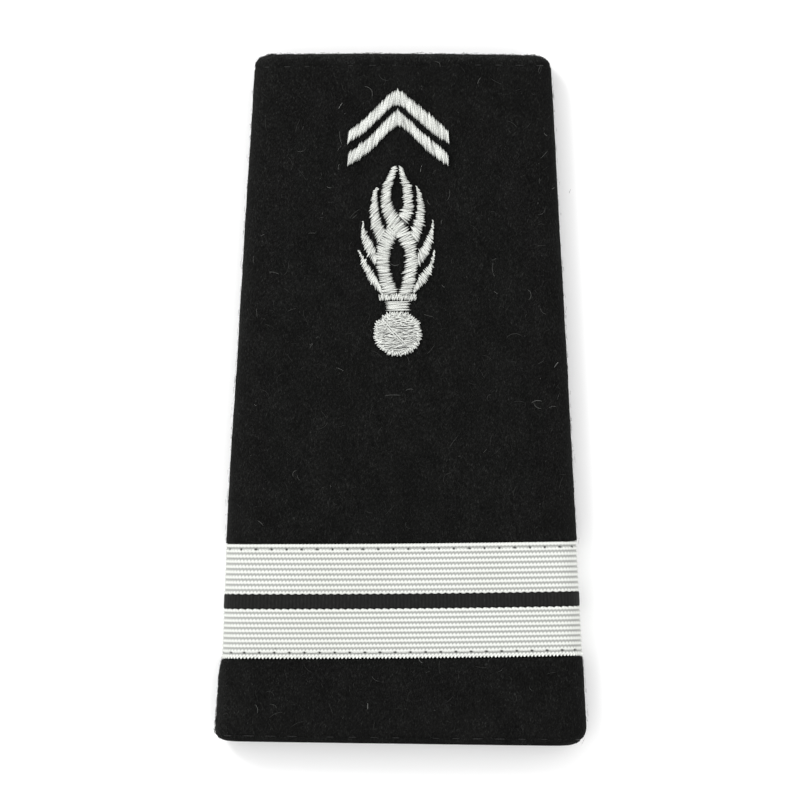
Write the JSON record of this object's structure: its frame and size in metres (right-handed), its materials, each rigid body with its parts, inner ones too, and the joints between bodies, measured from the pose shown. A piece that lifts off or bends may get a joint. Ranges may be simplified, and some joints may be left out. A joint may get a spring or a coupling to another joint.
{
  "type": "shoulder board",
  "caption": "Slip-on felt shoulder board: a tapered hollow sleeve with a striped woven braid round its wide end and an embroidered flame, ball and chevrons.",
  "frame": {"origin": "on the surface that the sleeve lies on, under the middle of its box", "axes": "+Y towards the narrow end, +Z out of the embroidered front, +X to the right seen from the front"},
  "size_m": [0.0548, 0.1022, 0.0084],
  "materials": {
    "felt_black": "matt wool felt with short loose fibres",
    "braid_white": "ribbed woven braid with a soft sheen",
    "braid_black": "ribbed woven braid, matt",
    "thread_white": "satin stitched embroidery thread"
  },
  "bodies": {
    "root": {"felt_sleeve": "felt_black", "braid_lower_band": "braid_white", "braid_centre_line": "braid_black", "braid_upper_band": "braid_white", "chevron_upper": "thread_white", "chevron_lower": "thread_white", "flame_strand_over": "thread_white", "flame_strand_under": "thread_white", "flame_tongue_left_high": "thread_white", "flame_tongue_left_mid": "thread_white", "flame_tongue_left_low": "thread_white", "flame_tongue_right_high": "thread_white", "flame_tongue_right_mid": "thread_white", "flame_tongue_right_low": "thread_white", "grenade_collar": "thread_white", "grenade_neck": "thread_white", "grenade_ball": "thread_white"}
  },
  "joints": []
}
